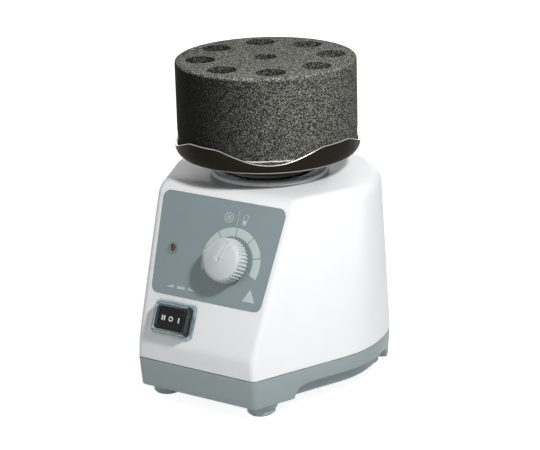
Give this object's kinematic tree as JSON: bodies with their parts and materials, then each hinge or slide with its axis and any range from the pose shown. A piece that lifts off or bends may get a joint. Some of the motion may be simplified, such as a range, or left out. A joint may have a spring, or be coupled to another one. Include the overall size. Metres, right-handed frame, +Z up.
{
  "type": "vortex mixer",
  "caption": "Vortex mixer: weighted body with a sloping control face, speed knob and rocker switch, and a touch-started orbiting head with a foam tube adapter.",
  "frame": {"origin": "middle of the footprint, on the table", "axes": "+Z up; +X to the right when facing the control face; +Y towards the back, with the mains inlet"},
  "size_m": [0.127, 0.1336, 0.173],
  "materials": {
    "white_case": "smooth moulded white",
    "grey_case": "fine satin",
    "ring_grey": "smooth light grey",
    "cast_iron": "as cast",
    "foot_rubber": "matte",
    "steel": "plated",
    "dark_steel": "blackened",
    "laminations": "varnished edges",
    "copper": "enamelled",
    "brass": "turned",
    "aluminium": "die cast",
    "panel_film": "fine satin film",
    "knob_grey": "satin",
    "pot_case": "plain",
    "lens_red": "dark tinted",
    "black_plastic": "smooth",
    "clear_boot": "clear soft plastic",
    "nylon": "natural",
    "black_rubber": "matte",
    "hub_black": "satin",
    "plate_black": "satin black",
    "foam_dark": "open-cell foam",
    "red_plastic": "plain",
    "board_green": "solder mask",
    "wire_blue": "insulation"
  },
  "bodies": {
    "housing": {"top_housing": "white_case", "collar_ring": "ring_grey", "base_tray": "grey_case", "base_weight": "cast_iron", "weight_screws": "steel", "rubber_feet": "foot_rubber", "foot_screws": "steel", "control_panel": "panel_film", "speed_pot": "pot_case", "pot_nut": "steel", "lamp_lens": "lens_red", "lamp_bezel": "ring_grey", "switch_body": "black_plastic", "switch_boot": "clear_boot", "switch_terminals": "brass", "guide_screws": "steel", "press_springs": "steel", "touch_switch": "black_plastic", "circuit_board": "board_green", "board_parts": "black_plastic", "board_posts": "steel", "board_screws": "steel", "mains_inlet": "black_plastic", "inlet_pins": "steel", "mains_wires": "wire_blue"},
    "carrier": {"motor_plate": "steel", "guide_bushes": "nylon", "motor_spacers": "steel", "lower_bracket": "aluminium", "upper_bracket": "aluminium", "motor_bolts": "steel", "motor_nuts": "steel", "stator_core": "laminations", "stator_coils": "copper", "shading_rings": "copper", "lower_bearing": "steel", "upper_bearing": "steel"},
    "rotor": {"motor_shaft": "steel", "rotor_core": "laminations", "cooling_fan": "nylon", "crank": "dark_steel", "counterweight": "brass", "crank_screw": "dark_steel"},
    "head": {"head_bearing": "steel", "head_hub": "hub_black", "head_skirt": "black_rubber", "top_plate": "plate_black", "plate_screw": "steel", "foam_adapter": "foam_dark"},
    "dial": {"speed_knob": "knob_grey", "pot_shaft": "steel"},
    "rocker": {"switch_rocker": "black_plastic"},
    "plunger": {"touch_plunger": "red_plastic"}
  },
  "joints": [
    {"name": "head_press", "type": "slide", "parent": "housing", "child": "carrier", "axis": [0, 0, -1], "range_m": [0, 0.0015], "stiffness_N_per_m": 6000, "springref_m": -0.003, "deforming": ["press_springs"]},
    {"name": "motor_spin", "type": "hinge", "parent": "carrier", "child": "rotor", "pos_m": [0, 0.0118, 0.06], "axis": [0, 0, 1], "continuous": true},
    {"name": "head_orbit", "type": "hinge", "parent": "rotor", "child": "head", "pos_m": [-0.00153, 0.01308, 0.1125], "axis": [0, 0, 1], "continuous": true},
    {"name": "knob_turn", "type": "hinge", "parent": "housing", "child": "dial", "pos_m": [0.0108, -0.04364, 0.0786], "axis": [0, -0.9161, 0.401], "range_deg": [-97.5, 127.5]},
    {"name": "rocker_tilt", "type": "hinge", "parent": "housing", "child": "rocker", "pos_m": [-0.0157, -0.05642, 0.04567], "axis": [0, 0.401, 0.9161], "range_deg": [-9, 9]},
    {"name": "plunger_slide", "type": "slide", "parent": "housing", "child": "plunger", "axis": [0, 0, -1], "range_m": [0, 0.0015]}
  ],
  "couplings": [
    {"joint": "head_orbit", "follows": "motor_spin", "ratio": -1},
    {"joint": "plunger_slide", "follows": "head_press", "ratio": 1}
  ]
}
